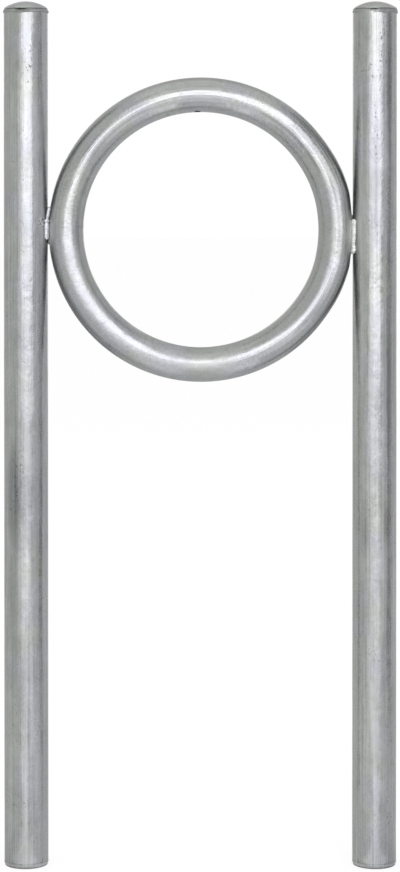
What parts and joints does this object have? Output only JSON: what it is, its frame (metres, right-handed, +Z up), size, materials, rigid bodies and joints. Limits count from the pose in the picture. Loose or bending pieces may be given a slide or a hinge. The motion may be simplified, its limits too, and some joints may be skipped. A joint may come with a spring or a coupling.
{
  "type": "hoop bike rack",
  "caption": "Hoop bike rack: round tube posts with domed caps and a rolled tube ring welded between them, hot-dip galvanised, set in concrete footings.",
  "frame": {"origin": "on the plane of the posts' lower ends, midway between the posts", "axes": "+Z up along the posts, +X from the left post to the right post as seen from the front, the front facing -Y"},
  "size_m": [0.5412, 0.0625, 1.1841],
  "materials": {
    "galvanised_tube": "hot-dip galvanised steel, satin zinc grey with soft mottling and vertical run marks",
    "galvanised_weld": "weld bead under zinc, brighter and rippled"
  },
  "bodies": {
    "root": {"left_post": "galvanised_tube", "right_post": "galvanised_tube", "left_cap": "galvanised_tube", "right_cap": "galvanised_tube", "ring": "galvanised_tube", "left_cap_weld": "galvanised_weld", "right_cap_weld": "galvanised_weld", "ring_butt_weld": "galvanised_weld", "left_front_weld": "galvanised_weld", "left_back_weld": "galvanised_weld", "right_front_weld": "galvanised_weld", "right_back_weld": "galvanised_weld"}
  },
  "joints": []
}
